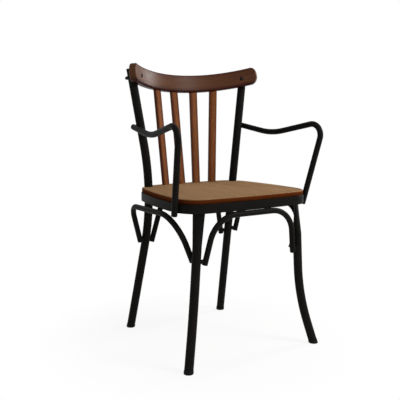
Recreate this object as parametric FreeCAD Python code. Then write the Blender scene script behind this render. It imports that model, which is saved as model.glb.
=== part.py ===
import FreeCAD, Part
import math
import os

# Armchair with a black tube frame, a wooden seat, four wooden slats and a bent wooden crest rail.
# Millimetres. The chair faces -Y, left is -X as seen from the front, and the floor is z = 0.
# "Spread" is the distance from the middle plane in X, "reach" the distance from x-z plane in Y.

Vec = FreeCAD.Vector

# Seat
seat_height = 455.0
seat_thickness = 14.0
seat_inset = 2.0
seat_top_rounding = 4.0
seat_bottom_rounding = 1.5
notch_clearance = 1.5

# Seat ring: flat bar on edge, bent round the outside of the four legs
ring_height = 24.5
ring_thickness = 5.0
ring_edge_rounding = 1.0
front_corner_radius = 65.0
rear_corner_radius = 75.0
front_corner_angle = -70.5
rear_corner_angle = 50.0
front_bow_radius = 2000.0
side_bow_radius = 1000.0
rear_bow_radius = 1500.0

# Legs and uprights: bent tube
leg_diameter = 25.0
leg_wall = 1.5
front_foot_spread = 219.0
front_foot_reach = 209.0
front_knee_spread = 184.5
front_knee_reach = 177.5
front_knee_height = 146.0
front_knee_bend = 660.0
front_top_spread = 166.0
front_top_reach = 175.0
flattening_length = 86.0
flattened_width = 33.0
flattened_thickness = 9.0
flattened_angle = -52.0
rear_foot_spread = 172.5
rear_foot_reach = 209.0
rear_knee_spread = 144.0
rear_knee_reach = 110.5
rear_knee_drop = 30.0
rear_knee_bend = 850.0
post_top_spread = 202.0
post_top_reach = 137.0
back_height = 343.0
leg_top_clearance = 2.0

# Arches: thinner tubes bent under the ring, held off the legs by short rods
arch_diameter = 16.0
arch_wall = 1.2
arch_stand_off = 4.0
stand_off_diameter = 12.0
stand_off_rise = 7.5
front_arch_depth = 136.5
front_arch_end_angle = 194.0
front_arch_corner_spread = 127.5
front_arch_forward = 23.0
front_arch_bend = 80.0
rear_arch_depth = 132.5
rear_arch_end_angle = 172.0
rear_arch_corner_spread = 100.0
rear_arch_corner_reach = 133.0
rear_arch_bend = 45.0
side_arch_front_depth = 131.5
side_arch_front_angle = 97.0
side_arch_front_corner_reach = 146.0
side_arch_front_corner_spread = 221.5
side_arch_front_drop = 1.0
side_arch_front_bend = 85.0
side_arch_rear_depth = 126.5
side_arch_rear_angle = -20.0
side_arch_rear_corner_reach = 133.0
side_arch_rear_corner_spread = 205.0
side_arch_rear_bend = 36.0
side_arch_rear_drop = 8.0

# Arms: bent tube, welded to the outside of the ring and of the back post, with heights above the seat
arm_diameter = 17.0
arm_wall = 1.5
arm_ring_angle = -12.0
arm_ring_drop = 5.0
arm_front_spread = 244.0
arm_front_reach = 201.0
arm_front_height = 199.0
arm_front_bend = 33.0
arm_dip_spread = 213.0
arm_dip_reach = 2.0
arm_dip_height = 156.5
arm_dip_bend = 250.0
arm_post_height = 180.0
arm_stub = 1.5

# Crest rail: bent wood, its middle lower and further back than its ends
crest_behind_posts = 41.5
crest_below_posts = 38.5
crest_depth = 53.0
crest_thickness = 21.0
crest_path_angle = 20.0
crest_lean_angle = 10.0
crest_edge_rounding = 6.0
crest_overhang = 48.0
crest_lower_end_radius = 26.0
crest_upper_end_radius = 19.0
crest_end_overrun = 0.5
crest_end_rounding = 4.0
post_nesting = 2.0

# Slats: straight laths let into the seat and the crest rail
slat_width = 24.5
slat_thickness = 11.0
slat_edge_rounding = 2.5
outer_slat_foot_spread = 84.6
inner_slat_foot_spread = 26.8
slat_setback = 17.0
outer_slat_top_spread = 103.0
inner_slat_top_spread = 36.0
slat_seat_tenon = 9.0
slat_crest_tenon = 14.0
mortise_clearance = 0.2

# Fittings
glide_height = 9.0
glide_lip = 0.8
glide_rounding = 1.5
spigot_length = 18.0
cap_thickness = 2.5
cap_rounding = 1.0
plug_fit = 0.15
tab_length = 30.0
tab_reach = 26.0
tab_thickness = 4.0
screw_diameter = 4.5
screw_head_diameter = 9.0
screw_head_height = 2.5
screw_bite = 10.0
screw_setback = 14.0
bolt_diameter = 6.0
bolt_head_diameter = 12.0
bolt_head_height = 3.5
bolt_recess = 1.5
nut_width = 10.0
nut_sides = 6
nut_height = 5.0
nut_dome_radius = 4.5
nut_engagement = 6.0
hole_clearance = 0.2

# Gap left between round or curved faces that are welded together
weld_gap = 0.25

ring_top = seat_height - seat_thickness
ring_bottom = ring_top - ring_height
leg_radius = leg_diameter / 2
arch_radius = arch_diameter / 2
arm_radius = arm_diameter / 2
x_axis = Vec(1, 0, 0)
z_axis = Vec(0, 0, 1)
nowhere = Vec(0, 0, 0)
far = 1000.0
level_tolerance = 0.01
slight_angle = 30.0


def unit(vector):
    return vector * (1.0 / vector.Length)


def compass(turn):
    """Level direction turned from +X towards +Y, in degrees."""
    return Vec(math.cos(math.radians(turn)), math.sin(math.radians(turn)), 0)


def mirrored(shape):
    return shape.mirror(nowhere, x_axis)


def mirrored_point(point):
    return Vec(-point.x, point.y, point.z)


def bent_path(points, bends):
    """Straight runs joined by tangent arcs, with one bend radius for each inner point."""
    edges = []
    start = points[0]
    for before, corner, after, bend in zip(points, points[1:], points[2:], bends):
        to_before = unit(before - corner)
        to_after = unit(after - corner)
        half_angle = to_before.getAngle(to_after) / 2
        setback = bend / math.tan(half_angle)
        arc_start = corner + to_before * setback
        arc_end = corner + to_after * setback
        arc_middle = corner + unit(to_before + to_after) * (bend / math.sin(half_angle) - bend)
        edges.append(Part.makeLine(start, arc_start))
        edges.append(Part.Arc(arc_start, arc_middle, arc_end).toShape())
        start = arc_end
    edges.append(Part.makeLine(start, points[-1]))
    return Part.Wire(edges)


def rod(path, diameter):
    """Round bar along a path."""
    first = path.OrderedEdges[0]
    start = first.valueAt(first.FirstParameter)
    along = first.tangentAt(first.FirstParameter)
    profile = Part.Wire(Part.makeCircle(diameter / 2, start, along))
    return path.makePipeShell([profile], True, False)


def tube(path, diameter, wall):
    return rod(path, diameter).cut(rod(path, diameter - 2 * wall))


def pin(start, end, diameter):
    """Straight round bar between two points."""
    return Part.makeCylinder(diameter / 2, (end - start).Length, start, end - start)


def block(points, sweep):
    """Straight-sided solid: a polygon swept along a direction."""
    solid = Part.Face(Part.makePolygon(points + points[:1])).extrude(sweep)
    if solid.Volume < 0:
        solid.reverse()
    return solid


def oval(centre, along, across, width, thickness):
    """Closed oval round a tube axis, or a circle where width and thickness are equal."""
    if width == thickness:
        curve = Part.Circle(centre, along, width / 2)
        curve.XAxis = across
    else:
        wide_end = centre + across * (width / 2)
        thin_end = centre + along.cross(across) * (thickness / 2)
        curve = Part.Ellipse(wide_end, thin_end, centre)
    return Part.Wire(curve.toShape())


def point_at_height(path, height):
    level = Part.makePlane(2 * far, 2 * far, Vec(-far, -far, height))
    return path.distToShape(level)[1][0][0]


def rounded_face(centre, across, up, width, height, radius):
    """Rectangle with rounded corners, on two given directions."""
    half_width = width / 2 - radius
    half_height = height / 2 - radius
    corners = [(1, 1), (-1, 1), (-1, -1), (1, -1)]
    edges = []
    last = None
    first = None
    for side, level in corners:
        middle = centre + across * (side * half_width) + up * (level * half_height)
        on_side = middle + across * (side * radius)
        on_level = middle + up * (level * radius)
        on_arc = middle + unit(across * side + up * level) * radius
        start, end = (on_side, on_level) if side == level else (on_level, on_side)
        if last:
            edges.append(Part.makeLine(last, start))
        else:
            first = start
        edges.append(Part.Arc(start, on_arc, end).toShape())
        last = end
    edges.append(Part.makeLine(last, first))
    return Part.Face(Part.Wire(edges))


def bow_centre(first, first_radius, second, second_radius, bow):
    """Centre of the arc that touches two corner circles from outside, on the left of first to second."""
    from_first = bow - first_radius
    from_second = bow - second_radius
    apart = (second - first).Length
    along = (from_first ** 2 - from_second ** 2 + apart ** 2) / (2 * apart)
    across = math.sqrt(from_first ** 2 - along ** 2)
    forward = unit(second - first)
    return first + forward * along + Vec(-forward.y, forward.x, 0) * across


def tube_plug(end, inward, diameter, wall):
    """Insert for an open tube end: a rounded cap outside and a spigot inside."""
    cap = pin(end - inward * cap_thickness, end, diameter)
    circles = [edge for edge in cap.Edges if len(edge.Vertexes) == 1]
    rim = max(circles, key=lambda edge: edge.CenterOfMass.distanceToPoint(end))
    cap = cap.makeFillet(cap_rounding, [rim])
    spigot = pin(end, end + inward * spigot_length, diameter - 2 * wall - 2 * plug_fit)
    return cap.fuse(spigot).removeSplitter()


def glide(foot, upward):
    """Plastic foot: a lip under the tube, cut level with the floor, and a spigot inside the tube."""
    tube_end = foot + upward * glide_height
    lip = pin(foot - upward * glide_height, tube_end, leg_diameter + 2 * glide_lip)
    below_floor = Part.makeBox(2 * far, 2 * far, far, Vec(-far, -far, -far))
    lip = lip.cut(below_floor)
    sole = [edge for edge in lip.Edges if abs(edge.BoundBox.ZMax) < glide_lip / 2]
    lip = lip.makeFillet(glide_rounding, sole)
    spigot = pin(tube_end, tube_end + upward * spigot_length, leg_diameter - 2 * leg_wall - 2 * plug_fit)
    return lip.fuse(spigot).removeSplitter()


# Front leg: splayed foot, a wide bend at the knee, and up inside the ring to the seat
front_foot = Vec(front_foot_spread, -front_foot_reach, 0)
front_knee = Vec(front_knee_spread, -front_knee_reach, front_knee_height)
front_top = Vec(front_top_spread, -front_top_reach, ring_top - leg_top_clearance)
front_foot_up = unit(front_knee - front_foot)
front_leg_start = front_foot + front_foot_up * glide_height
front_leg_path = bent_path([front_leg_start, front_knee, front_top], [front_knee_bend])
front_leg_bar = rod(front_leg_path, leg_diameter + 2 * weld_gap)

# The top of the front leg is pressed flat, to lie against the inside of the ring
front_leg_rise = unit(front_top - front_knee)
flat_start = point_at_height(front_leg_path, ring_bottom - flattening_length)
flat_end = point_at_height(front_leg_path, ring_bottom)
flat_across = unit(front_leg_rise.cross(compass(flattened_angle)))


def front_leg_bar_inside(wall):
    """Front leg as a bar, made smaller all round by the wall."""
    lower_path = bent_path([front_leg_start, front_knee, flat_start], [front_knee_bend])
    round_part = rod(lower_path, leg_diameter - 2 * wall)
    width = flattened_width - 2 * wall
    thickness = flattened_thickness - 2 * wall
    ovals = [
        oval(flat_start, front_leg_rise, flat_across, leg_diameter - 2 * wall, leg_diameter - 2 * wall),
        oval(flat_end, front_leg_rise, flat_across, width, thickness),
    ]
    taper = Part.makeLoft(ovals, True)
    flat_part = Part.Face(ovals[1]).extrude(front_top - flat_end)
    return round_part.fuse([taper, flat_part]).removeSplitter()


front_leg = front_leg_bar_inside(0).cut(front_leg_bar_inside(leg_wall))

# Rear upright: rear leg and back post in one tube
rear_foot = Vec(rear_foot_spread, rear_foot_reach, 0)
rear_knee = Vec(rear_knee_spread, rear_knee_reach, seat_height - rear_knee_drop)
post_top = Vec(post_top_spread, post_top_reach, seat_height + back_height)
rear_foot_up = unit(rear_knee - rear_foot)
post_up = unit(post_top - rear_knee)
rear_leg_start = rear_foot + rear_foot_up * glide_height
upright_path = bent_path([rear_leg_start, rear_knee, post_top], [rear_knee_bend])
upright = tube(upright_path, leg_diameter, leg_wall)
upright_bar = rod(upright_path, leg_diameter + 2 * weld_gap)

# Outline of the ring: its corners go round the legs, and bowed sides touch the corners
flat_turn = math.radians(flattened_angle - front_corner_angle)
flat_side = flattened_width * math.sin(flat_turn)
flat_face = flattened_thickness * math.cos(flat_turn)
flat_depth = math.hypot(flat_side, flat_face) / 2
flat_half_chord = flattened_width * math.cos(flat_turn) / 2
ring_curve_room = flat_half_chord ** 2 / (2 * (front_corner_radius - ring_thickness - flat_depth))
front_setback = ring_thickness + flat_depth + ring_curve_room + weld_gap
rear_setback = ring_thickness + leg_radius + weld_gap
front_leg_at_ring = point_at_height(front_leg_path, ring_bottom)
post_at_ring = point_at_height(upright_path, ring_bottom)
front_corner = front_leg_at_ring - compass(front_corner_angle) * (front_corner_radius - front_setback)
rear_corner = post_at_ring - compass(rear_corner_angle) * (rear_corner_radius - rear_setback)
front_corner.z = 0
rear_corner.z = 0
corners = [mirrored_point(front_corner), front_corner, rear_corner, mirrored_point(rear_corner)]
corner_radii = [front_corner_radius, front_corner_radius, rear_corner_radius, rear_corner_radius]
bows = [front_bow_radius, side_bow_radius, rear_bow_radius, side_bow_radius]
next_corners = corners[1:] + corners[:1]
next_radii = corner_radii[1:] + corner_radii[:1]
bow_centres = [
    bow_centre(*sizes) for sizes in zip(corners, corner_radii, next_corners, next_radii, bows)
]


def seat_outline(inset, height):
    """Closed outline of the ring, moved inwards by a distance."""
    edges = []
    lift = z_axis * height
    for i in range(len(corners)):
        corner = corners[i]
        following = next_corners[i]
        radius = corner_radii[i] - inset
        following_radius = next_radii[i] - inset
        into_corner = unit(corner - bow_centres[i - 1])
        out_of_corner = unit(corner - bow_centres[i])
        into_following = unit(following - bow_centres[i])
        corner_start = corner + into_corner * radius
        corner_middle = corner + unit(into_corner + out_of_corner) * radius
        corner_end = corner + out_of_corner * radius
        bow_middle = bow_centres[i] + unit(out_of_corner + into_following) * (bows[i] - inset)
        bow_end = following + into_following * following_radius
        edges.append(Part.Arc(corner_start + lift, corner_middle + lift, corner_end + lift).toShape())
        edges.append(Part.Arc(corner_end + lift, bow_middle + lift, bow_end + lift).toShape())
    return Part.Wire(edges)


def seat_prism(inset, bottom, height):
    return Part.Face(seat_outline(inset, bottom)).extrude(z_axis * height)


def level_edges(shape, height):
    """Edges of a shape that lie flat at one height."""
    level = []
    for edge in shape.Edges:
        box = edge.BoundBox
        if abs(box.ZMin - height) + box.ZLength < level_tolerance:
            level.append(edge)
    return level


# Seat ring
ring_outside = seat_prism(0, ring_bottom, ring_height)
ring_inside = seat_prism(ring_thickness, ring_bottom, ring_height)
ring_outside = ring_outside.makeFillet(
    ring_edge_rounding, level_edges(ring_outside, ring_bottom) + level_edges(ring_outside, ring_top)
)
seat_ring = ring_outside.cut(ring_inside)

# Arches: each end stands off its leg, the top run lies under the ring
arch_top = ring_bottom - weld_gap - arch_radius
arch_to_leg = leg_radius + arch_stand_off + arch_radius


def beside_leg(leg_path, depth, angle):
    return point_at_height(leg_path, ring_bottom - depth) + compass(angle) * arch_to_leg


front_arch_end = beside_leg(front_leg_path, front_arch_depth, front_arch_end_angle)
front_arch_corner = Vec(front_arch_corner_spread, front_top.y - front_arch_forward, arch_top)
rear_arch_end = beside_leg(upright_path, rear_arch_depth, rear_arch_end_angle)
rear_arch_corner = Vec(rear_arch_corner_spread, rear_arch_corner_reach, arch_top)
side_front_end = beside_leg(front_leg_path, side_arch_front_depth, side_arch_front_angle)
side_front_top = arch_top - side_arch_front_drop
side_rear_top = arch_top - side_arch_rear_drop
side_front_corner = Vec(side_arch_front_corner_spread, -side_arch_front_corner_reach, side_front_top)
side_rear_corner = Vec(side_arch_rear_corner_spread, side_arch_rear_corner_reach, side_rear_top)
side_rear_end = beside_leg(upright_path, side_arch_rear_depth, side_arch_rear_angle)

front_arch_path = bent_path(
    [mirrored_point(front_arch_end), mirrored_point(front_arch_corner), front_arch_corner, front_arch_end],
    [front_arch_bend, front_arch_bend],
)
rear_arch_path = bent_path(
    [mirrored_point(rear_arch_end), mirrored_point(rear_arch_corner), rear_arch_corner, rear_arch_end],
    [rear_arch_bend, rear_arch_bend],
)
side_arch_path = bent_path(
    [side_front_end, side_front_corner, side_rear_corner, side_rear_end],
    [side_arch_front_bend, side_arch_rear_bend],
)
front_arch = tube(front_arch_path, arch_diameter, arch_wall)
rear_arch = tube(rear_arch_path, arch_diameter, arch_wall)
side_arch = tube(side_arch_path, arch_diameter, arch_wall)


def stand_off(arch_path, end, corner, leg_path, leg_bar):
    """Short rod between an arch end and its leg, shaped to both tubes."""
    on_arch = end + unit(corner - end) * stand_off_rise
    on_leg = point_at_height(leg_path, on_arch.z)
    short_rod = pin(on_leg, on_arch, stand_off_diameter)
    return short_rod.cut(leg_bar).cut(rod(arch_path, arch_diameter + 2 * weld_gap))


arch_ends = [
    (front_arch_path, front_arch_end, front_arch_corner, front_leg_path, front_leg_bar),
    (rear_arch_path, rear_arch_end, rear_arch_corner, upright_path, upright_bar),
    (side_arch_path, side_front_end, side_front_corner, front_leg_path, front_leg_bar),
    (side_arch_path, side_rear_end, side_rear_corner, upright_path, upright_bar),
]
stand_offs = [stand_off(*arch_end) for arch_end in arch_ends]
arch_plugs = [
    tube_plug(end, unit(corner - end), arch_diameter, arch_wall)
    for _, end, corner, _, _ in arch_ends
]

# Arm: from the outside of the ring up to the front corner, back over the dip and past the post
arm_at_ring = front_corner + compass(arm_ring_angle) * (front_corner_radius + arm_radius + weld_gap)
arm_at_ring.z = ring_bottom
arm_front = Vec(arm_front_spread, -arm_front_reach, seat_height + arm_front_height)
arm_dip = Vec(arm_dip_spread, -arm_dip_reach, seat_height + arm_dip_height)
arm_rise = unit(arm_front - arm_at_ring)
arm_start = arm_at_ring - arm_rise * arm_ring_drop
post_at_arm = point_at_height(upright_path, seat_height + arm_post_height)
# The arm's direction and the place where it passes the post depend on each other
arm_fit_rounds = 4
arm_beside_post = post_at_arm
for _ in range(arm_fit_rounds):
    away_from_post = unit(unit(arm_beside_post - arm_dip).cross(post_up))
    arm_beside_post = post_at_arm + away_from_post * (leg_radius + arm_radius + weld_gap)
arm_back = unit(arm_beside_post - arm_dip)
arm_end = arm_beside_post + arm_back * arm_stub
arm_path = bent_path([arm_start, arm_front, arm_dip, arm_end], [arm_front_bend, arm_dip_bend])
arm = tube(arm_path, arm_diameter, arm_wall)
arm_plugs = [
    tube_plug(arm_start, arm_rise, arm_diameter, arm_wall),
    tube_plug(arm_end, arm_back * -1, arm_diameter, arm_wall),
]

# Crest rail: a leaning section turned about a tilted axis, so that its rear face meets both posts
tilt = math.radians(crest_path_angle)
lean = math.radians(crest_lean_angle)
crest_axis = Vec(0, math.sin(tilt), math.cos(tilt))
crest_back = Vec(0, math.cos(tilt), -math.sin(tilt))
crest_middle = Vec(0, post_top_reach + crest_behind_posts, post_top.z - crest_below_posts)
post_to_rail = crest_thickness / 2 + leg_radius - post_nesting
to_crest_plane = (crest_middle - rear_knee).dot(crest_axis) / post_up.dot(crest_axis)
post_at_crest = rear_knee + post_up * to_crest_plane
from_middle = post_at_crest - crest_middle
short_of_rail = post_to_rail - from_middle.dot(crest_back)
crest_radius = (from_middle.Length ** 2 - post_to_rail ** 2) / (2 * short_of_rail)
crest_centre = crest_middle - crest_back * crest_radius
post_angle = math.degrees((post_at_crest - crest_centre).getAngle(crest_back))
end_angle = post_angle + math.degrees(crest_overhang / crest_radius)
crest_up = Vec(0, math.sin(lean), math.cos(lean))
crest_through = Vec(0, math.cos(lean), -math.sin(lean))


def turned(shape, angle):
    """Copy of a shape turned about the axis of the crest rail, towards +X."""
    copy = shape.copy()
    copy.rotate(crest_centre, crest_axis, -angle)
    return copy


section = rounded_face(
    crest_middle, crest_through, crest_up, crest_thickness, crest_depth, crest_edge_rounding
)
blank_angle = end_angle + math.degrees(crest_thickness / crest_radius)
crest_rail = turned(section, blank_angle).revolve(crest_centre, crest_axis, 2 * blank_angle)


def end_waste():
    """All that lies past the rounded end of the rail, drawn at the rail's middle."""
    through = crest_through * (4 * crest_thickness)
    start = crest_middle - through * 0.5
    outline = []
    places = []
    for radius, side in ((crest_lower_end_radius, -1), (crest_upper_end_radius, 1)):
        level = crest_up * (side * (crest_depth / 2 - radius + crest_end_overrun))
        centre = start + level - x_axis * radius
        on_end = start + level
        on_edge = centre + crest_up * (side * radius)
        on_arc = centre + unit(x_axis + crest_up * side) * radius
        past_edge = start - x_axis * radius + crest_up * (side * crest_depth)
        past_end = start + (x_axis + crest_up * side) * crest_depth
        outline.append(Part.Arc(on_edge, on_arc, on_end).toShape())
        places.append((on_end, on_edge, past_edge, past_end))
    lower, upper = places
    outline.append(Part.makeLine(lower[0], upper[0]))
    outside = [upper[1], upper[2], upper[3], lower[3], lower[2], lower[1]]
    for before, after in zip(outside, outside[1:]):
        outline.append(Part.makeLine(before, after))
    waste = Part.Face(Part.Wire(Part.__sortEdges__(outline))).extrude(through)
    if waste.Volume < 0:
        waste.reverse()
    return waste


def is_sharp(shape, edge):
    """True where the two faces that share an edge meet at more than a slight angle."""
    middle = edge.valueAt((edge.FirstParameter + edge.LastParameter) / 2)
    faces = shape.ancestorsOfType(edge, Part.Face)
    first, second = [face.normalAt(*face.Surface.parameter(middle)) for face in faces]
    return math.degrees(first.getAngle(second)) > slight_angle


waste = turned(end_waste(), end_angle)
crest_rail = crest_rail.cut(waste).cut(mirrored(waste))
end_edges = [edge for edge in crest_rail.Edges if is_sharp(crest_rail, edge)]
crest_rail = crest_rail.makeFillet(crest_end_rounding, end_edges)
post_room = pin(post_at_arm, post_top + post_up * crest_depth, leg_diameter + 2 * weld_gap)
crest_rail = crest_rail.cut(post_room).cut(mirrored(post_room))

# Bolts through the rail and the posts, with cap nuts behind
outwards = unit(post_at_crest - crest_centre)
bolt_way = unit(outwards - post_up * outwards.dot(post_up))
head_seat = post_at_crest - bolt_way * (post_to_rail + crest_thickness / 2 - bolt_recess)
nut_seat = post_at_crest + bolt_way * leg_radius
before_rail = head_seat - bolt_way * crest_thickness
behind_post = nut_seat + bolt_way * nut_height
bolt_hole = pin(before_rail, behind_post, bolt_diameter + 2 * hole_clearance)
head_room = pin(before_rail, head_seat, bolt_head_diameter + 2 * hole_clearance)
for cutter in (bolt_hole, head_room):
    crest_rail = crest_rail.cut(cutter).cut(mirrored(cutter))
upright = upright.cut(bolt_hole)

head_dome_radius = (bolt_head_diameter ** 2 / 4 + bolt_head_height ** 2) / (2 * bolt_head_height)
head_dome = Part.makeSphere(head_dome_radius, head_seat + bolt_way * (head_dome_radius - bolt_head_height))
head_limit = pin(head_seat - bolt_way * bolt_head_height * 2, head_seat, bolt_head_diameter)
shank = pin(head_seat, nut_seat + bolt_way * nut_engagement, bolt_diameter)
crest_bolt = head_dome.common(head_limit).fuse(shank).removeSplitter()

nut_side = unit(bolt_way.cross(z_axis))
nut_up = nut_side.cross(bolt_way)
nut_corner = nut_width / 2 / math.cos(math.pi / nut_sides)
nut_angles = [2 * math.pi * i / nut_sides for i in range(nut_sides)]
nut_points = [
    nut_seat + (nut_side * math.cos(angle) + nut_up * math.sin(angle)) * nut_corner
    for angle in nut_angles
]
nut_body = block(nut_points, bolt_way * nut_height)
nut_dome = Part.makeSphere(nut_dome_radius, nut_seat + bolt_way * nut_height)
nut_bore_end = nut_seat + bolt_way * (nut_engagement + plug_fit)
nut_bore = pin(nut_seat, nut_bore_end, bolt_diameter + 2 * hole_clearance)
dome_limit = pin(nut_seat, nut_seat + bolt_way * far, nut_width)
crest_nut = nut_body.fuse(nut_dome.common(dome_limit)).removeSplitter().cut(nut_bore)

# Slats, and their mortises in the seat and the rail


def slat_bar(foot_spread, top_spread, play):
    """Lath from inside the seat panel to inside the crest rail; the play makes it a cutter."""
    seat_edge = bow_centres[2].y + math.sqrt((rear_bow_radius - seat_inset) ** 2 - foot_spread ** 2)
    foot = Vec(foot_spread, seat_edge - slat_setback, seat_height)
    angle = math.asin(top_spread / crest_radius)
    top = crest_centre + (crest_back * math.cos(angle) + x_axis * math.sin(angle)) * crest_radius
    along = unit(top - foot)
    start = foot - along * (slat_seat_tenon + play)
    end = top - along * (crest_depth / 2 - slat_crest_tenon - play)
    sideways = x_axis * math.cos(angle) - crest_back * math.sin(angle)
    sideways = unit(sideways - along * sideways.dot(along))
    face = rounded_face(
        start, sideways, along.cross(sideways), slat_width + 2 * play, slat_thickness + 2 * play,
        slat_edge_rounding + play,
    )
    return face.extrude(end - start)


slat_places = {
    "outer": (outer_slat_foot_spread, outer_slat_top_spread),
    "inner": (inner_slat_foot_spread, inner_slat_top_spread),
}
slats = {name: slat_bar(*place, 0) for name, place in slat_places.items()}
mortises = [slat_bar(*place, mortise_clearance) for place in slat_places.values()]

# Seat panel: lies on the ring, notched round the posts
seat_panel = seat_prism(seat_inset, ring_top, seat_thickness)
seat_panel = seat_panel.makeFillet(seat_top_rounding, level_edges(seat_panel, seat_height))
seat_panel = seat_panel.makeFillet(seat_bottom_rounding, level_edges(seat_panel, ring_top))
post_at_seat = point_at_height(upright_path, ring_top)
post_through_seat = point_at_height(upright_path, seat_height) - post_at_seat
below_seat = post_at_seat - post_through_seat
past_seat = post_through_seat * 3
notch_radius = leg_radius + notch_clearance
notch_way = compass(rear_corner_angle)
notch_side = Vec(-notch_way.y, notch_way.x, 0) * notch_radius
past_edge = below_seat + notch_way * rear_corner_radius
notch_mouth = [
    below_seat + notch_side,
    past_edge + notch_side,
    past_edge - notch_side,
    below_seat - notch_side,
]
notch_round = Part.Wire(Part.makeCircle(notch_radius, below_seat, z_axis))
notch = Part.Face(notch_round).extrude(past_seat).fuse(block(notch_mouth, past_seat))
for cutter in [notch] + mortises:
    seat_panel = seat_panel.cut(cutter).cut(mirrored(cutter))
for mortise in mortises:
    crest_rail = crest_rail.cut(mortise).cut(mirrored(mortise))

# Tabs inside the ring, with a wood screw up through each into the seat
inside_ring = seat_prism(ring_thickness + weld_gap, ring_bottom, ring_height)
tab_bottom = ring_top - tab_thickness
front_wall = bow_centres[0].y - front_bow_radius + ring_thickness
rear_wall = bow_centres[2].y + rear_bow_radius - ring_thickness
side_wall = bow_centres[1].x + math.sqrt((side_bow_radius - ring_thickness) ** 2 - bow_centres[1].y ** 2)
tab_walls = {
    "front": (Vec(0, front_wall, tab_bottom), Vec(0, 1, 0)),
    "rear": (Vec(0, rear_wall, tab_bottom), Vec(0, -1, 0)),
    "right": (Vec(side_wall, 0, tab_bottom), Vec(-1, 0, 0)),
}
tabs = {}
screws = {}
for name, (wall, inward) in tab_walls.items():
    sideways = inward.cross(z_axis) * (tab_length / 2)
    outer_edge = wall - inward * ring_thickness
    inner_edge = wall + inward * tab_reach
    blank = [outer_edge + sideways, inner_edge + sideways, inner_edge - sideways, outer_edge - sideways]
    tab = block(blank, z_axis * tab_thickness).common(inside_ring)
    entry = wall + inward * screw_setback
    tip = entry + z_axis * (tab_thickness + screw_bite)
    hole = pin(entry, tip + z_axis * plug_fit, screw_diameter + 2 * hole_clearance)
    head = pin(entry - z_axis * screw_head_height, entry, screw_head_diameter)
    screws[name] = head.fuse(pin(entry, tip, screw_diameter)).removeSplitter()
    tabs[name] = tab.cut(hole)
    seat_panel = seat_panel.cut(hole)
    if name == "right":
        seat_panel = seat_panel.cut(mirrored(hole))

nodes = {
    "seat_ring": [seat_ring],
    "right_rear_upright": [upright],
    "left_rear_upright": [mirrored(upright)],
    "right_front_leg": [front_leg],
    "left_front_leg": [mirrored(front_leg)],
    "front_arch": [front_arch],
    "rear_arch": [rear_arch],
    "right_arch": [side_arch],
    "left_arch": [mirrored(side_arch)],
    "arch_stand_offs": stand_offs + [mirrored(piece) for piece in stand_offs],
    "arch_plugs": arch_plugs + [mirrored(piece) for piece in arch_plugs],
    "right_arm": [arm],
    "left_arm": [mirrored(arm)],
    "arm_plugs": arm_plugs + [mirrored(piece) for piece in arm_plugs],
    "crest_rail": [crest_rail],
    "right_outer_slat": [slats["outer"]],
    "right_inner_slat": [slats["inner"]],
    "left_inner_slat": [mirrored(slats["inner"])],
    "left_outer_slat": [mirrored(slats["outer"])],
    "seat_panel": [seat_panel],
    "front_seat_tab": [tabs["front"]],
    "rear_seat_tab": [tabs["rear"]],
    "right_seat_tab": [tabs["right"]],
    "left_seat_tab": [mirrored(tabs["right"])],
    "seat_screws": [screws["front"], screws["rear"], screws["right"], mirrored(screws["right"])],
    "crest_bolts": [crest_bolt, mirrored(crest_bolt)],
    "crest_nuts": [crest_nut, mirrored(crest_nut)],
    "right_post_cap": [tube_plug(post_top, post_up * -1, leg_diameter, leg_wall)],
    "right_front_glide": [glide(front_foot, front_foot_up)],
    "right_rear_glide": [glide(rear_foot, rear_foot_up)],
}
for name in ("post_cap", "front_glide", "rear_glide"):
    nodes["left_" + name] = [mirrored(piece) for piece in nodes["right_" + name]]

os.makedirs("parts", exist_ok=True)
for name, pieces in nodes.items():
    solids = [solid for piece in pieces for solid in piece.Solids]
    shape = solids[0] if len(solids) == 1 else Part.makeCompound(solids)
    shape.exportStep("parts/" + name + ".step")
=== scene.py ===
import math

import bpy
from mathutils import Matrix, Vector


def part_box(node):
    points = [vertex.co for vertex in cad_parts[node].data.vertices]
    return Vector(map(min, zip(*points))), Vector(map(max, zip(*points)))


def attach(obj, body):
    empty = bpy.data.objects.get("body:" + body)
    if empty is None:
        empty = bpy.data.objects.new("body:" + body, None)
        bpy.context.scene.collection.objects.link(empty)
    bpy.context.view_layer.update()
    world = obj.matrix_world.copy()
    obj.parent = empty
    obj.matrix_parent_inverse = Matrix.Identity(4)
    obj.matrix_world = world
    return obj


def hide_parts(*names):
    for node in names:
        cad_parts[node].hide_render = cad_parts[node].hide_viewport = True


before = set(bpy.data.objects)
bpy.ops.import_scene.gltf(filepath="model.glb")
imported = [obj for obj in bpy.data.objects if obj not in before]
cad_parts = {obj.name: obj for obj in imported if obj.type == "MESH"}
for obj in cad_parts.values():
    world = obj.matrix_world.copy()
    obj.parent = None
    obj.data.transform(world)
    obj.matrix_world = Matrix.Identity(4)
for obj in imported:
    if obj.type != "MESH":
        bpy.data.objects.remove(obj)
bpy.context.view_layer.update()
bpy.ops.object.select_all(action="DESELECT")

# Steel frame: a flat ring on edge, round legs and uprights, thinner arches and arms, all bent cold
# and welded. It is sprayed with black powder and baked, which leaves a satin skin that is very
# slightly wavy, like orange peel, and a little uneven in its gloss.
steel_pieces = [
    "seat_ring", "right_rear_upright", "left_rear_upright", "right_front_leg", "left_front_leg",
    "front_arch", "rear_arch", "right_arch", "left_arch", "arch_stand_offs", "right_arm", "left_arm",
    "front_seat_tab", "rear_seat_tab", "right_seat_tab", "left_seat_tab",
]


def linear(hex_colour):
    """An sRGB hex colour as linear red, green, blue and alpha."""
    channels = [int(hex_colour[i:i + 2], 16) / 255 for i in (1, 3, 5)]
    return [c / 12.92 if c <= 0.04045 else ((c + 0.055) / 1.055) ** 2.4 for c in channels] + [1.0]


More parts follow.
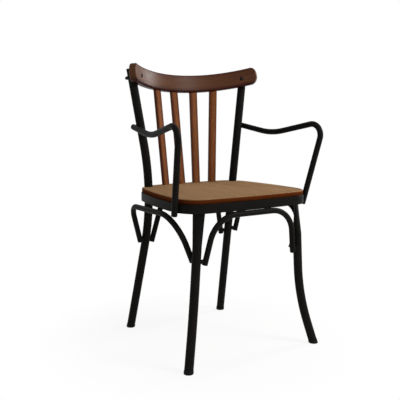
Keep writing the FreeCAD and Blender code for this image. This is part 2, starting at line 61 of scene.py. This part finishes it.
def add_node(material, kind, inputs=None, **settings):
    """Adds a node to a material or a world, with its own settings, and fills or links its inputs."""
    node = material.node_tree.nodes.new(kind)
    for name, value in settings.items():
        setattr(node, name, value)
    for name, value in (inputs or {}).items():
        if isinstance(value, bpy.types.NodeSocket):
            material.node_tree.links.new(value, node.inputs[name])
        else:
            node.inputs[name].default_value = value
    return node


def new_finish(name):
    """An empty material with its shader, and the place of each point on the chair in metres."""
    material = bpy.data.materials.new(name)
    material.use_nodes = True
    shader = material.node_tree.nodes["Principled BSDF"]
    place = add_node(material, "ShaderNodeTexCoord").outputs["Object"]
    return material, shader, place


def join(material, socket, target):
    """Links one node's output to another node's input."""
    material.node_tree.links.new(socket, target)


def dress(node_names, material):
    """Gives CAD nodes their material, in every slot that they have."""
    for name in node_names:
        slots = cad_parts[name].data.materials
        slots.clear()
        slots.append(material)


powder_coat, coat_shader, place = new_finish("black_powder_coat_on_steel")
peel_size = 0.003
cloud_size = 0.045
peel = add_node(
    powder_coat, "ShaderNodeTexNoise", {"Vector": place, "Scale": 1 / peel_size, "Detail": 1.0}
)
cloud = add_node(
    powder_coat, "ShaderNodeTexNoise", {"Vector": place, "Scale": 1 / cloud_size, "Detail": 3.0}
)
coat_colour = add_node(
    powder_coat, "ShaderNodeMixRGB",
    {"Fac": cloud.outputs["Fac"], "Color1": linear("#111110"), "Color2": linear("#1e1c1a")},
)
coat_gloss = add_node(
    powder_coat, "ShaderNodeMapRange",
    {"Value": cloud.outputs["Fac"], "To Min": 0.34, "To Max": 0.46},
)
coat_bump = add_node(
    powder_coat, "ShaderNodeBump", {"Height": peel.outputs["Fac"], "Strength": 0.12, "Distance": 0.0004}
)
join(powder_coat, coat_colour.outputs["Color"], coat_shader.inputs["Base Color"])
join(powder_coat, coat_gloss.outputs["Result"], coat_shader.inputs["Roughness"])
join(powder_coat, coat_bump.outputs["Normal"], coat_shader.inputs["Normal"])
coat_shader.inputs["IOR"].default_value = 1.5
coat_shader.inputs["Specular IOR Level"].default_value = 0.022
dress(steel_pieces, powder_coat)

# Welds: short rippled beads where the arms stand against the ring and the posts, and where the front
# arch lies under the ring. They were laid before the powder coat, so they wear the same black.
ripple_pitch = 0.002
ripple_swell = 0.13
bead_sides = 12
smooth_below = math.radians(40)


def draw_out(sides, profile):
    """A round piece on the Z axis, drawn out from a disc through pairs of radius and height. It is left
    in edit mode."""
    radius, height = profile[0]
    bpy.ops.object.select_all(action="DESELECT")
    bpy.ops.mesh.primitive_circle_add(
        vertices=sides, radius=radius, fill_type="NGON", location=(0, 0, height)
    )
    bpy.ops.object.mode_set(mode="EDIT")
    bpy.ops.mesh.select_all(action="SELECT")
    for next_radius, next_height in profile[1:]:
        growth = next_radius / radius
        bpy.ops.mesh.extrude_region_move(TRANSFORM_OT_translate={"value": (0, 0, next_height - height)})
        bpy.ops.transform.resize(value=(growth, growth, 1), center_override=(0, 0, next_height))
        radius, height = next_radius, next_height
    return bpy.context.object


def put_in_place(piece, name, place, axis):
    """Takes a piece out of edit mode and moves it to its place, with its Z axis along the given one."""
    bpy.ops.mesh.select_all(action="SELECT")
    bpy.ops.mesh.normals_make_consistent(inside=False)
    bpy.ops.object.mode_set(mode="OBJECT")
    bpy.ops.object.transform_apply(location=True, rotation=True, scale=True)
    piece.name = name
    piece.location = place
    piece.rotation_euler = axis.to_track_quat("Z", "Y").to_euler()
    bpy.ops.object.transform_apply(location=True, rotation=True, scale=True)
    bpy.ops.object.shade_smooth_by_angle(angle=smooth_below)


def keep_weld(piece):
    """Paints a weld like the frame and fixes it to the chair."""
    piece.data.materials.append(powder_coat)
    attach(piece, "root")


def weld_bead(name, start, end, radius):
    """A straight bead with thin ends, fat and thin in turn between them."""
    length = (end - start).length
    rings = 2 * round(length / ripple_pitch)
    ripples = [
        (radius * (1 + ripple_swell * (-1) ** ring), length * ring / rings) for ring in range(1, rings)
    ]
    piece = draw_out(bead_sides, [(radius / 2, 0), *ripples, (radius / 2, length)])
    put_in_place(piece, name, start, end - start)
    keep_weld(piece)


def weld_ring(name, place, axis, reach, radius):
    """A round bead about a spot where two tubes cross, with every other pair of its rings swollen."""
    rings = 36
    rings_in_ripple = 4
    ring_sides = 10
    bpy.ops.object.select_all(action="DESELECT")
    bpy.ops.mesh.primitive_torus_add(
        major_radius=reach, minor_radius=radius, major_segments=rings, minor_segments=ring_sides
    )
    bpy.ops.object.mode_set(mode="EDIT")
    bpy.ops.mesh.select_all(action="DESELECT")
    bpy.ops.object.mode_set(mode="OBJECT")
    for vertex in bpy.context.object.data.vertices:
        ring = vertex.index // ring_sides
        vertex.select = ring % rings_in_ripple < rings_in_ripple / 2
    bpy.ops.object.mode_set(mode="EDIT")
    bpy.ops.transform.shrink_fatten(value=radius * ripple_swell)
    piece = bpy.context.object
    put_in_place(piece, name, place, axis)
    keep_weld(piece)


# The arm touches the ring at its lower edge and leans away from it further up, so these beads are
# short, and lie further out at the top.
ring_low, ring_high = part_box("seat_ring")
ring_corner_radius = 0.065
ring_corner = Vector((ring_high[0] - ring_corner_radius, -0.1273, 0))
arm_on_ring = Vector((0.2224, -0.1426, ring_low[2]))
arm_rise = Vector((0.088, -0.237, 0.968))
arm_bead_radius = 0.0021
arm_bead_ends = [(0.001, 0.0008), (0.014, 0.0017)]
beside_arm = 0.068
arm_on_post = Vector((0.189, 0.1272, 0.633))
from_post_to_arm = Vector((0.976, 0.155, -0.155))
post_bead_reach = 0.005
post_bead_radius = 0.0018
arch_bead_radius = 0.0016
arch_bead_ends = [0.035, 0.055]
arch_bead_reaches = [(-0.2, "front"), (-0.1945, "rear")]
arch_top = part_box("front_arch")[1][2]
for side, hand in ((1, "right"), (-1, "left")):
    to_side = Vector((side, 1, 1))
    for turn, end_name in ((beside_arm, "rear"), (-beside_arm, "front")):
        spots = []
        for rise, outside in arm_bead_ends:
            on_arm = arm_on_ring + arm_rise * rise
            outwards = ((on_arm - ring_corner) * Vector((1, 1, 0))).normalized()
            outwards.rotate(Matrix.Rotation(turn, 3, "Z"))
            spot = ring_corner + outwards * (ring_corner_radius + outside)
            spot.z = on_arm.z
            spots.append(spot * to_side)
        weld_bead(hand + "_arm_" + end_name + "_weld", spots[0], spots[1], arm_bead_radius)
    weld_ring(
        hand + "_arm_post_weld", arm_on_post * to_side, from_post_to_arm * to_side,
        post_bead_reach, post_bead_radius,
    )
    for reach, end_name in arch_bead_reaches:
        spots = [Vector((spread, reach, arch_top)) * to_side for spread in arch_bead_ends]
        weld_bead(hand + "_arch_" + end_name + "_weld", spots[0], spots[1], arch_bead_radius)

# Glides, tube plugs and post caps: moulded polyethylene, pushed into the open tube ends. The mould
# was lightly sparked, so the skin is a fine even grain with almost no shine. The grain is drawn about
# ten times coarser than it is, so that it shows.
plastic_pieces = [
    "arch_plugs", "arm_plugs", "right_post_cap", "left_post_cap",
    "right_front_glide", "left_front_glide", "right_rear_glide", "left_rear_glide",
]
polyethylene, plastic_shader, place = new_finish("black_moulded_polyethylene")
spark_size = 0.0012
spark = add_node(
    polyethylene, "ShaderNodeTexNoise", {"Vector": place, "Scale": 1 / spark_size, "Detail": 2.0}
)
plastic_colour = add_node(
    polyethylene, "ShaderNodeMixRGB",
    {"Fac": spark.outputs["Fac"], "Color1": linear("#111111"), "Color2": linear("#1c1c1c")},
)
plastic_bump = add_node(
    polyethylene, "ShaderNodeBump", {"Height": spark.outputs["Fac"], "Strength": 0.2, "Distance": 0.0002}
)
join(polyethylene, plastic_colour.outputs["Color"], plastic_shader.inputs["Base Color"])
join(polyethylene, plastic_bump.outputs["Normal"], plastic_shader.inputs["Normal"])
plastic_shader.inputs["Roughness"].default_value = 0.6
plastic_shader.inputs["IOR"].default_value = 1.51
plastic_shader.inputs["Specular IOR Level"].default_value = 0.06
dress(plastic_pieces, polyethylene)

# Seat: a flat panel of beech with a rounded edge, stained brown and sprayed with matt lacquer. Its
# grain runs from front to back. Its edge is darker and redder, partly deeper stain in the end grain and
# partly painted shade, strongest low down. It lies on the ring and is held by screws from below.
seat_beech, seat_shader, place = new_finish("stained_beech_seat")


def stain(material, shader, along_grain, deep, pale, sheen, smooth, rough):
    """Brown stain under lacquer, for a point in metres across, along and through the grain."""
    # Real fibres are about 0.2 mm wide, and the short dark flecks that beech has aren't much wider.
    # Both are drawn up to ten times coarser, so that they show.
    band_size = 0.011
    fibre_size = 0.0022
    stretch = 0.045
    fibre_from, fibre_to = 0.35, 0.65
    fibre_dark, fibre_light = 0.84, 1.1
    fleck_size = 0.0014
    fleck_stretch = 0.2
    fleck_from, fleck_to = 0.64, 0.72
    fleck_dark = 0.76
    long_way = add_node(material, "ShaderNodeMapping", {"Vector": along_grain, "Scale": (1, stretch, 1)})
    bands = add_node(
        material, "ShaderNodeTexNoise",
        {"Vector": long_way.outputs["Vector"], "Scale": 1 / band_size, "Detail": 2.0, "Distortion": 0.6},
    )
    fibres = add_node(
        material, "ShaderNodeTexNoise",
        {"Vector": long_way.outputs["Vector"], "Scale": 1 / fibre_size, "Detail": 2.0},
    )
    band_colour = add_node(
        material, "ShaderNodeMixRGB",
        {"Fac": bands.outputs["Fac"], "Color1": linear(deep), "Color2": linear(pale)},
    )
    fibre_shade = add_node(
        material, "ShaderNodeMapRange",
        {"Value": fibres.outputs["Fac"], "From Min": fibre_from, "From Max": fibre_to,
         "To Min": fibre_dark, "To Max": fibre_light},
    )
    short_way = add_node(
        material, "ShaderNodeMapping", {"Vector": along_grain, "Scale": (1, fleck_stretch, 1)}
    )
    flecks = add_node(
        material, "ShaderNodeTexNoise",
        {"Vector": short_way.outputs["Vector"], "Scale": 1 / fleck_size, "Detail": 0.0},
    )
    fleck_shade = add_node(
        material, "ShaderNodeMapRange",
        {"Value": flecks.outputs["Fac"], "From Min": fleck_from, "From Max": fleck_to,
         "To Min": 1.0, "To Max": fleck_dark},
    )
    shade = add_node(
        material, "ShaderNodeMath",
        {0: fibre_shade.outputs["Result"], 1: fleck_shade.outputs["Result"]}, operation="MULTIPLY",
    )
    colour = add_node(
        material, "ShaderNodeMixRGB",
        {"Fac": 1.0, "Color1": band_colour.outputs["Color"], "Color2": shade.outputs["Value"]},
        blend_type="MULTIPLY",
    )
    gloss = add_node(
        material, "ShaderNodeMapRange",
        {"Value": fibres.outputs["Fac"], "To Min": smooth, "To Max": rough},
    )
    bump = add_node(
        material, "ShaderNodeBump",
        {"Height": fibres.outputs["Fac"], "Strength": 0.08, "Distance": 0.0003},
    )
    join(material, colour.outputs["Color"], shader.inputs["Base Color"])
    join(material, gloss.outputs["Result"], shader.inputs["Roughness"])
    join(material, bump.outputs["Normal"], shader.inputs["Normal"])
    shader.inputs["IOR"].default_value = 1.5
    shader.inputs["Specular IOR Level"].default_value = sheen


stain(
    seat_beech, seat_shader, place, deep="#876746", pale="#a78563", sheen=0.006, smooth=0.7, rough=0.85
)
seat_low, seat_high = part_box("seat_panel")
edge_depth = 0.0025
edge_fade = 0.0015
height = add_node(seat_beech, "ShaderNodeSeparateXYZ", {"Vector": place}).outputs["Z"]
edge_top = seat_high[2] - edge_depth
on_top = add_node(
    seat_beech, "ShaderNodeMapRange",
    {"Value": height, "From Min": edge_top, "From Max": edge_top + edge_fade},
)
up_the_edge = add_node(
    seat_beech, "ShaderNodeMapRange", {"Value": height, "From Min": seat_low[2], "From Max": edge_top}
)
# Painted shade: the edge is tinted darker and redder than the top, partly as deeper stain in the end
# grain and partly as painted shade, darkest at the bottom of the edge.
edge_stain_and_shade = add_node(
    seat_beech, "ShaderNodeMixRGB",
    {"Fac": up_the_edge.outputs["Result"], "Color1": linear("#5e3b2a"), "Color2": linear("#a06844")},
)
top_colour = seat_shader.inputs["Base Color"].links[0].from_socket
edge_colour = add_node(
    seat_beech, "ShaderNodeMixRGB",
    {"Fac": 1.0, "Color1": top_colour, "Color2": edge_stain_and_shade.outputs["Color"]}, blend_type="MULTIPLY",
)
seat_colour = add_node(
    seat_beech, "ShaderNodeMixRGB",
    {"Fac": on_top.outputs["Result"], "Color1": edge_colour.outputs["Color"], "Color2": top_colour},
)
join(seat_beech, seat_colour.outputs["Color"], seat_shader.inputs["Base Color"])
dress(["seat_panel"], seat_beech)

# Slats: four straight laths of the same beech, with eased edges, let into the seat and the rail.
# Their grain runs up the back, and painted shade darkens them towards both edges.
slat_pieces = ["right_outer_slat", "right_inner_slat", "left_inner_slat", "left_outer_slat"]
slat_half_width = 0.01225
slat_shade_width = 0.011
slat_beech, slat_shader, place = new_finish("stained_beech_slats")
slat_axes = add_node(slat_beech, "ShaderNodeSeparateXYZ", {"Vector": place})
up_the_slat = add_node(
    slat_beech, "ShaderNodeCombineXYZ",
    {"X": slat_axes.outputs["X"], "Y": slat_axes.outputs["Z"], "Z": slat_axes.outputs["Y"]},
)
stain(
    slat_beech, slat_shader, up_the_slat.outputs["Vector"],
    deep="#643418", pale="#935b33", sheen=0.08, smooth=0.28, rough=0.42,
)


def paint_edge_shade(material, shader, from_middle, half_width, shade_width, tint):
    """Darkens a lath's colour towards its edges as painted shade, by each point's distance from its
    middle.
    """
    edge_shade_share = add_node(
        material, "ShaderNodeMapRange",
        {"Value": from_middle, "From Min": half_width - shade_width, "From Max": half_width},
        interpolation_type="SMOOTHSTEP",
    )
    edge_shade_tint = add_node(
        material, "ShaderNodeMixRGB",
        {"Fac": edge_shade_share.outputs["Result"], "Color1": linear("#ffffff"), "Color2": linear(tint)},
    )
    open_colour = shader.inputs["Base Color"].links[0].from_socket
    edge_shaded_colour = add_node(
        material, "ShaderNodeMixRGB",
        {"Fac": 1.0, "Color1": open_colour, "Color2": edge_shade_tint.outputs["Color"]}, blend_type="MULTIPLY",
    )
    join(material, edge_shaded_colour.outputs["Color"], shader.inputs["Base Color"])


# The slats of each pair fan out alike to the left and the right, so one middle line does for both.
from_chair_middle = add_node(
    slat_beech, "ShaderNodeMath", {0: slat_axes.outputs["X"]}, operation="ABSOLUTE"
)
from_slat_lines = []
for name in ("right_inner_slat", "right_outer_slat"):
    slat_low, slat_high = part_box(name)
    slat_line = add_node(
        slat_beech, "ShaderNodeMapRange",
        {"Value": slat_axes.outputs["Z"], "From Min": slat_low[2], "From Max": slat_high[2],
         "To Min": slat_low[0] + slat_half_width, "To Max": slat_high[0] - slat_half_width},
    )
    beside_line = add_node(
        slat_beech, "ShaderNodeMath",
        {0: from_chair_middle.outputs["Value"], 1: slat_line.outputs["Result"]}, operation="SUBTRACT",
    )
    from_slat_lines.append(
        add_node(slat_beech, "ShaderNodeMath", {0: beside_line.outputs["Value"]}, operation="ABSOLUTE")
    )
from_nearest_line = add_node(
    slat_beech, "ShaderNodeMath",
    {0: from_slat_lines[0].outputs["Value"], 1: from_slat_lines[1].outputs["Value"]}, operation="MINIMUM",
)
# Painted shade along both edges of each slat.
paint_edge_shade(
    slat_beech, slat_shader, from_nearest_line.outputs["Value"], slat_half_width, slat_shade_width,
    tint="#b39d80",
)
dress(slat_pieces, slat_beech)

# Crest rail: one lath of beech steamed and bent round the sitter's back, bolted to both posts. The
# grain follows the bend, so it is laid out round the axis of the bend. Painted shade darkens both
# edges, most of all the lower one.
bend_tilt = math.radians(20)
bend_radius = 0.3068
rail_middle = Vector((0, 0.1785, 0.7595))
bend_axis = Vector((0, math.sin(bend_tilt), math.cos(bend_tilt)))
bend_back = Vector((0, math.cos(bend_tilt), -math.sin(bend_tilt)))
bend_centre = rail_middle - bend_back * bend_radius
rail_beech, rail_shader, place = new_finish("stained_beech_crest_rail")
from_centre = add_node(
    rail_beech, "ShaderNodeVectorMath", {0: place, 1: bend_centre}, operation="SUBTRACT"
).outputs["Vector"]
backwards = add_node(
    rail_beech, "ShaderNodeVectorMath", {0: from_centre, 1: bend_back}, operation="DOT_PRODUCT"
).outputs["Value"]
upwards = add_node(
    rail_beech, "ShaderNodeVectorMath", {0: from_centre, 1: bend_axis}, operation="DOT_PRODUCT"
).outputs["Value"]
sideways = add_node(rail_beech, "ShaderNodeSeparateXYZ", {"Vector": from_centre}).outputs["X"]
turn = add_node(
    rail_beech, "ShaderNodeMath", {0: sideways, 1: backwards}, operation="ARCTAN2"
).outputs["Value"]
round_the_bend = add_node(
    rail_beech, "ShaderNodeMath", {0: turn, 1: bend_radius}, operation="MULTIPLY"
).outputs["Value"]
in_bend_plane = add_node(rail_beech, "ShaderNodeCombineXYZ", {"X": sideways, "Y": backwards})
through = add_node(
    rail_beech, "ShaderNodeVectorMath", {0: in_bend_plane.outputs["Vector"]}, operation="LENGTH"
).outputs["Value"]
along_the_rail = add_node(
    rail_beech, "ShaderNodeCombineXYZ", {"X": upwards, "Y": round_the_bend, "Z": through}
)
stain(
    rail_beech, rail_shader, along_the_rail.outputs["Vector"],
    deep="#472817", pale="#653f27", sheen=0.1, smooth=0.28, rough=0.42,
)
rail_half_depth = 0.0265
upper_shade_width = 0.016
lower_shade_width = 0.013
downwards = add_node(
    rail_beech, "ShaderNodeMath", {0: upwards, 1: -1.0}, operation="MULTIPLY"
).outputs["Value"]
# Painted shade along the top and the bottom edge of the rail, deeper at the bottom.
paint_edge_shade(rail_beech, rail_shader, upwards, rail_half_depth, upper_shade_width, tint="#b58a7c")
paint_edge_shade(rail_beech, rail_shader, downwards, rail_half_depth, lower_shade_width, tint="#9a5048")
dress(["crest_rail"], rail_beech)

# Cap nuts behind the posts and wood screws under the seat: blackened steel, rubbed a little bright in
# small spots.
black_steel, bolt_shader, place = new_finish("blackened_steel")
rub_size = 0.002
rub = add_node(black_steel, "ShaderNodeTexNoise", {"Vector": place, "Scale": 1 / rub_size, "Detail": 2.0})
bolt_colour = add_node(
    black_steel, "ShaderNodeMixRGB",
    {"Fac": rub.outputs["Fac"], "Color1": linear("#0e0d0d"), "Color2": linear("#2e2c2a")},
)
join(black_steel, bolt_colour.outputs["Color"], bolt_shader.inputs["Base Color"])
bolt_shader.inputs["Metallic"].default_value = 0.85
bolt_shader.inputs["Roughness"].default_value = 0.42
dress(["seat_screws", "crest_nuts"], black_steel)

# Bolts through the rail: two of the same blackened steel, with a domed head that is sunk a little into
# the rail. Each is turned from one bar, and its socket is pressed in with a hexagon punch.
bolt_radius = 0.003
bolt_length = 0.0485
head_radius = 0.006
head_height = 0.0035
socket_width = 0.004
socket_floor = 0.0012
dome_rings = 6
bolt_sides = 32
socket_sides = 6
head_seat = Vector((0.1796, 0.1125, 0.7798))
bolt_way = Vector((0.629, 0.7624, -0.152))
dome_radius = (head_radius ** 2 + head_height ** 2) / (2 * head_height)
dome_angle = math.asin(head_radius / dome_radius)
dome = []
for ring in range(dome_rings):
    angle = dome_angle * (1 - ring / dome_rings)
    dome.append((dome_radius * math.sin(angle), head_height - dome_radius * (1 - math.cos(angle))))
bolts = []
for side, hand in ((1, "right"), (-1, "left")):
    to_side = Vector((side, 1, 1))
    bolt = draw_out(bolt_sides, [(bolt_radius, -bolt_length), (bolt_radius, 0), *dome])
    bpy.ops.object.mode_set(mode="OBJECT")
    bpy.ops.mesh.primitive_cylinder_add(
        vertices=socket_sides, radius=socket_width / 2 / math.cos(math.pi / socket_sides),
        depth=head_height, location=(0, 0, socket_floor + head_height / 2),
    )
    punch = bpy.context.object
    socket = bolt.modifiers.new("socket", "BOOLEAN")
    socket.operation = "DIFFERENCE"
    socket.object = punch
    bpy.context.view_layer.objects.active = bolt
    bpy.ops.object.modifier_apply(modifier="socket")
    bpy.data.objects.remove(punch)
    bolt.select_set(True)
    bpy.ops.object.mode_set(mode="EDIT")
    put_in_place(bolt, hand + "_bolt", head_seat * to_side, -bolt_way * to_side)
    bolt.data.materials.append(black_steel)
    bolts.append(bolt)
bpy.ops.object.select_all(action="DESELECT")
for bolt in bolts:
    bolt.select_set(True)
bpy.context.view_layer.objects.active = bolts[0]
bpy.ops.object.join()
bolts[0].name = "crest_rail_bolts"
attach(bolts[0], "root")
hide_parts("crest_bolts")

# Studio: a wide floor of white paper, plain white away from the chair. Near the chair a share of its
# own light and shade is kept, so that the soft shadow shows.
floor_size = 60
shadow_reach = 0.2
white_reach = 0.6
least_white = 0.87
bpy.ops.mesh.primitive_plane_add(size=floor_size)
floor = bpy.context.object
floor.name = "floor"
paper, paper_shader, place = new_finish("white_paper_floor")
paper_shader.inputs["Base Color"].default_value = linear("#f4f3f1")
paper_shader.inputs["Roughness"].default_value = 0.9
ray = add_node(paper, "ShaderNodeLightPath")
seen = add_node(
    paper, "ShaderNodeMath",
    {0: ray.outputs["Is Camera Ray"], 1: ray.outputs["Is Glossy Ray"]}, operation="MAXIMUM",
)
seen_or_through = add_node(
    paper, "ShaderNodeMath",
    {0: seen.outputs["Value"], 1: ray.outputs["Is Transmission Ray"]}, operation="MAXIMUM",
)
floor_axes = add_node(paper, "ShaderNodeSeparateXYZ", {"Vector": place})
flat_place = add_node(
    paper, "ShaderNodeCombineXYZ", {"X": floor_axes.outputs["X"], "Y": floor_axes.outputs["Y"]}
)
away = add_node(paper, "ShaderNodeVectorMath", {0: flat_place.outputs["Vector"]}, operation="LENGTH")
whiteness = add_node(
    paper, "ShaderNodeMapRange",
    {"Value": away.outputs["Value"], "From Min": shadow_reach, "From Max": white_reach,
     "To Min": least_white, "To Max": 1.0},
    interpolation_type="SMOOTHSTEP",
)
share = add_node(
    paper, "ShaderNodeMath",
    {0: seen_or_through.outputs["Value"], 1: whiteness.outputs["Result"]}, operation="MULTIPLY",
)
glow = add_node(paper, "ShaderNodeEmission", {"Color": linear("#ffffff"), "Strength": 1.0})
paper_mix = add_node(
    paper, "ShaderNodeMixShader",
    {"Fac": share.outputs["Value"], 1: paper_shader.outputs["BSDF"], 2: glow.outputs["Emission"]},
)
join(paper, paper_mix.outputs["Shader"], paper.node_tree.nodes["Material Output"].inputs["Surface"])
floor.data.materials.append(paper)

# Light: an even pale room, white where the eye or a reflection meets it, with one large soft box high
# in front on the right, and a smaller one at the right that gives the left end of the rail its sheen.
room_strength = 0.4
room = bpy.data.worlds.new("pale_studio")
room.use_nodes = True
bpy.context.scene.world = room
room_light = room.node_tree.nodes["Background"]
room_light.inputs["Color"].default_value = linear("#ffffff")
room_light.inputs["Strength"].default_value = room_strength
room_seen = add_node(room, "ShaderNodeBackground", {"Color": linear("#ffffff"), "Strength": 1.0})
room_ray = add_node(room, "ShaderNodeLightPath")
room_eye = add_node(
    room, "ShaderNodeMath",
    {0: room_ray.outputs["Is Camera Ray"], 1: room_ray.outputs["Is Glossy Ray"]}, operation="MAXIMUM",
)
room_eye_or_through = add_node(
    room, "ShaderNodeMath",
    {0: room_eye.outputs["Value"], 1: room_ray.outputs["Is Transmission Ray"]}, operation="MAXIMUM",
)
room_mix = add_node(
    room, "ShaderNodeMixShader",
    {"Fac": room_eye_or_through.outputs["Value"], 1: room_light.outputs["Background"],
     2: room_seen.outputs["Background"]},
)
join(room, room_mix.outputs["Shader"], room.node_tree.nodes["World Output"].inputs["Surface"])


def soft_box(name, place, size, power):
    """A square lamp that faces the middle of the chair."""
    middle = Vector((0, 0, 0.45))
    lamp = bpy.data.lights.new(name, "AREA")
    lamp.size = size
    lamp.energy = power
    holder = bpy.data.objects.new(name, lamp)
    bpy.context.scene.collection.objects.link(holder)
    holder.location = place
    holder.rotation_euler = (middle - Vector(place)).to_track_quat("-Z", "Y").to_euler()


soft_box("soft_box_front", place=(1.3, -1.9, 2.1), size=0.8, power=46)
soft_box("soft_box_right", place=(1.95, 0.0, 1.2), size=0.5, power=18)

# Camera: a low view from the left of the front, level with the back and a little above the seat.
azimuth = math.radians(-33.208)
elevation = math.radians(8.188)
roll = math.radians(0.319)
distance = 1.9708
target = Vector((-0.04945, 0, 0.42177))
film_width = 36.0
image_width = 400
focal_pixels = 674.15
back = Vector((
    math.sin(azimuth) * math.cos(elevation),
    -math.cos(azimuth) * math.cos(elevation),
    math.sin(elevation),
))
lens = bpy.data.cameras.new("camera")
lens.sensor_width = film_width
lens.lens = focal_pixels * film_width / image_width
camera = bpy.data.objects.new("camera", lens)
bpy.context.scene.collection.objects.link(camera)
level_view = (-back).to_track_quat("-Z", "Y").to_matrix().to_4x4()
stand = Matrix.Translation(target + back * distance)
camera.matrix_world = stand @ level_view @ Matrix.Rotation(roll, 4, "Z")
bpy.context.scene.camera = camera
bpy.context.scene.view_settings.view_transform = "Standard"
